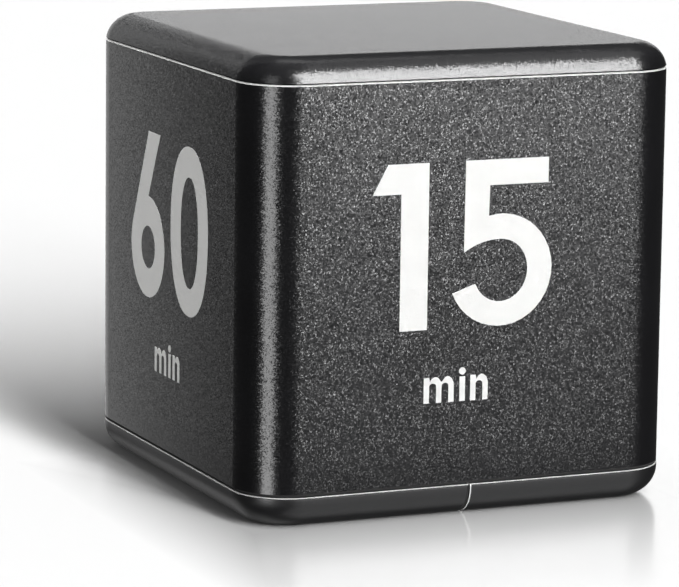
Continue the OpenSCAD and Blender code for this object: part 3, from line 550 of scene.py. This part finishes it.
# Room: white to the camera and through glass, an even fill for matt surfaces, and dim in reflections but for
# what is overhead, which comes up between two heights, given as the upward part of the way there
FILL, DIM, OVERHEAD = 0.15, 0.04, 0.22
OVERHEAD_FROM, OVERHEAD_FULL = 0.4, 0.95


def white_room(name):
    """The world around the object."""
    world = bpy.data.worlds.new(name)
    world.use_nodes = True
    tree = world.node_tree
    path = add(tree, "LightPath")
    shown = add(tree, "Math", {0: path.outputs["Is Camera Ray"], 1: path.outputs["Is Transmission Ray"]},
                operation="MAXIMUM").outputs[0]
    upward = add(tree, "SeparateXYZ", {"Vector": add(tree, "TexCoord").outputs["Generated"]}).outputs["Z"]
    dim = add(tree, "MapRange", {"Value": upward}, {"From Min": OVERHEAD_FROM, "From Max": OVERHEAD_FULL,
                                                    "To Min": DIM, "To Max": OVERHEAD}).outputs[0]
    fill = add(tree, "Mix", {0: path.outputs["Is Diffuse Ray"], 2: dim}, {3: FILL}).outputs[0]
    level = add(tree, "Mix", {0: shown, 2: fill}, {3: 1.0}).outputs[0]
    background = tree.nodes["Background"]
    background.inputs["Color"].default_value = (1, 1, 1, 1)
    dress(tree, background, Strength=level)
    return world


scene.world = white_room("room")

# The suns light the floor alone and most lamps the object alone, so that the shadow stays soft and the floor
# white. The floor shades no lamp
floor_only = bpy.data.collections.new("floor_only")
floor_only.objects.link(floor)
not_floor = bpy.data.collections.new("not_floor")
not_floor.objects.link(floor)
not_floor.collection_objects[0].light_linking.link_state = "EXCLUDE"
# Lamps face the middle of the cube
AIM = Vector((0, 0, span("top_cap", "Z")[1] / 2)) * MM


def towards(turn, height):
    """The way to a lamp, by its turn from the front towards the right and its height, in degrees."""
    turn, height = math.radians(turn), math.radians(height)
    return Vector((math.sin(turn) * math.cos(height), -math.cos(turn) * math.cos(height), math.sin(height)))


def panel(name, turn, height, distance, size, radiance, receivers):
    """A flat soft lamp that faces the object."""
    way = towards(turn, height)
    bpy.ops.object.light_add(type="AREA", location=AIM + way * distance)
    lamp = bpy.context.object
    lamp.name = name
    lamp.rotation_euler = way.to_track_quat("Z", "Y").to_euler()
    lamp.data.shape = "RECTANGLE"
    lamp.data.size, lamp.data.size_y = size
    lamp.data.energy = radiance * math.pi * size[0] * size[1]
    lamp.visible_camera = False
    lamp.light_linking.receiver_collection = receivers
    lamp.light_linking.blocker_collection = not_floor
    return lamp


# Lamps that fill and don't mirror: turn and height in degrees, distance and size in metres, and radiance
FILLS = {
    # Soft key from the front right, whose glints are kept apart, as on a lamp behind a grid
    "key_fill": (22, 25, 1.5, (1.24, 1.37), 4.1),
    # Weaker fills for the left wall and the back
    "left_fill": (-100, 25, 1.0, (0.5, 0.5), 3.0),
    "back_fill": (160, 35, 1.0, (0.8, 0.8), 3.0),
    # A small lamp overhead for the upper edges
    "rim_fill": (-95, 88, 1.0, (0.5, 0.5), 21.0),
    # Soft light from below for the underside
    "under_fill": (20, -70, 0.8, (0.6, 0.6), 1.5),
}
# Lamps that mirror and don't fill, given by the same values
GLINTS = {
    # Sparkle on the front wall and the cap's rim, and a low card that carries it down
    "key_glint": (17.5, 28.5, 1.5, (1.0, 1.36), 18.0),
    "card_glint": (21, -1.8, 1.5, (1.27, 0.32), 3.4),
    # Bright stripe along the near corner, and its weaker upper end
    "strip_glint": (-58, -9, 0.9, (0.35, 0.4), 7.4),
    "strip_high_glint": (-58, 22, 0.9, (0.35, 0.6), 1.7),
    # Lower edge of the base in front, and the cap's rim on the right and at the back
    "low_glint": (30, -50, 0.5, (0.5, 0.52), 0.9),
    "high_glint": (65, 60, 1.0, (0.6, 0.35), 1.0),
    "rear_glint": (145, 69, 1.0, (0.5, 0.3), 1.1),
    # White cards behind, for the top and for the left wall
    "back_glint": (149.7, 3, 0.5, (0.253, 0.27), 0.98),
    "side_glint": (190, -1, 0.5, (0.466, 0.306), 0.7),
    "side_high_glint": (190, 21.5, 0.5, (0.466, 0.1), 0.55),
    # Lower edge of the base on the left
    "under_glint": (205, -36, 0.8, (0.5, 0.36), 0.6),
    "deep_glint": (200, -68, 0.8, (0.6, 0.34), 0.55),
}
# The floor's polish mirrors the cards behind too
ALSO_FLOOR = ("back_glint", "side_glint", "side_high_glint")
for name, lamp in FILLS.items():
    panel(name, *lamp, not_floor).visible_glossy = False
for name, lamp in GLINTS.items():
    panel(name, *lamp, None if name in ALSO_FLOOR else not_floor).visible_diffuse = False

# Grey flag beside the left wall: in the wall's reflection it cuts off the white behind, more so towards the
# front. Its right edge, the place where it is darkest, its place behind, width, height and foot are in mm
FLAG_EDGE, FLAG_DARK, FLAG_BEHIND, FLAG_W, FLAG_H, FLAG_FOOT = -49, -77, 60, 340, 320, -20
FLAG_GLOW, EDGE_GLOW = 0.05, 0.42


def grey_cloth(name):
    """Flag cloth: dark, and paler towards its right edge. It glows, since no lamp is set for it."""
    material, tree, shader, place = surface(name)
    tree.nodes.remove(shader)
    across = add(tree, "SeparateXYZ", {"Vector": place}).outputs["X"]
    level = add(tree, "MapRange", {"Value": across},
                {"From Min": FLAG_DARK * MM, "From Max": FLAG_EDGE * MM,
                 "To Min": FLAG_GLOW, "To Max": EDGE_GLOW}).outputs[0]
    glow = add(tree, "Emission", {"Strength": level}).outputs[0]
    dress(tree, tree.nodes["Material Output"], Surface=glow)
    return material


flag_middle = Vector((FLAG_EDGE - FLAG_W / 2, FLAG_BEHIND, FLAG_FOOT + FLAG_H / 2)) * MM
bpy.ops.mesh.primitive_plane_add(size=1, location=flag_middle, rotation=(math.pi / 2, 0, 0))
flag = bpy.context.object
flag.name = "flag"
flag.scale = (FLAG_W * MM, FLAG_H * MM, 1)
bpy.ops.object.transform_apply(location=True, rotation=True, scale=True)
flag.data.materials.append(grey_cloth("flag_grey_cloth"))
for kind in ("camera", "diffuse", "transmission", "shadow"):
    setattr(flag, "visible_" + kind, False)

# Soft suns at rising heights make the long shadow that falls to the back and left
SUN_WIDTH, FLOOR_LIGHT = 6.5, 1.1
SUN_LOWEST, SUN_STEP, SUNS = 18, 4.5, 16
SUN_HEIGHTS = [SUN_LOWEST + SUN_STEP * i for i in range(SUNS)]
# Height, turn and brightness at a few heights, between which they change evenly
SUN_STATIONS = [Vector(v) for v in ((18, -1, 0.6), (28, 4, 1.1), (38, 8, 0.85), (60, 11, 0.5), (86, 30, 0.3))]


def sun_at(height):
    """Turn and brightness of the sun at a height."""
    for low, high in zip(SUN_STATIONS, SUN_STATIONS[1:]):
        if height <= high.x:
            return low.lerp(high, (height - low.x) / (high.x - low.x)).yz


brightness = sum(sun_at(height).y for height in SUN_HEIGHTS)
for height in SUN_HEIGHTS:
    turn, share = sun_at(height)
    share /= brightness
    way = towards(turn, height)
    bpy.ops.object.light_add(type="SUN", location=way)
    sun = bpy.context.object
    sun.name = "floor_sun_%d" % height
    sun.rotation_euler = way.to_track_quat("Z", "Y").to_euler()
    sun.data.angle = math.radians(SUN_WIDTH)
    sun.data.energy = FLOOR_LIGHT * math.pi * share / way.z
    sun.light_linking.receiver_collection = floor_only
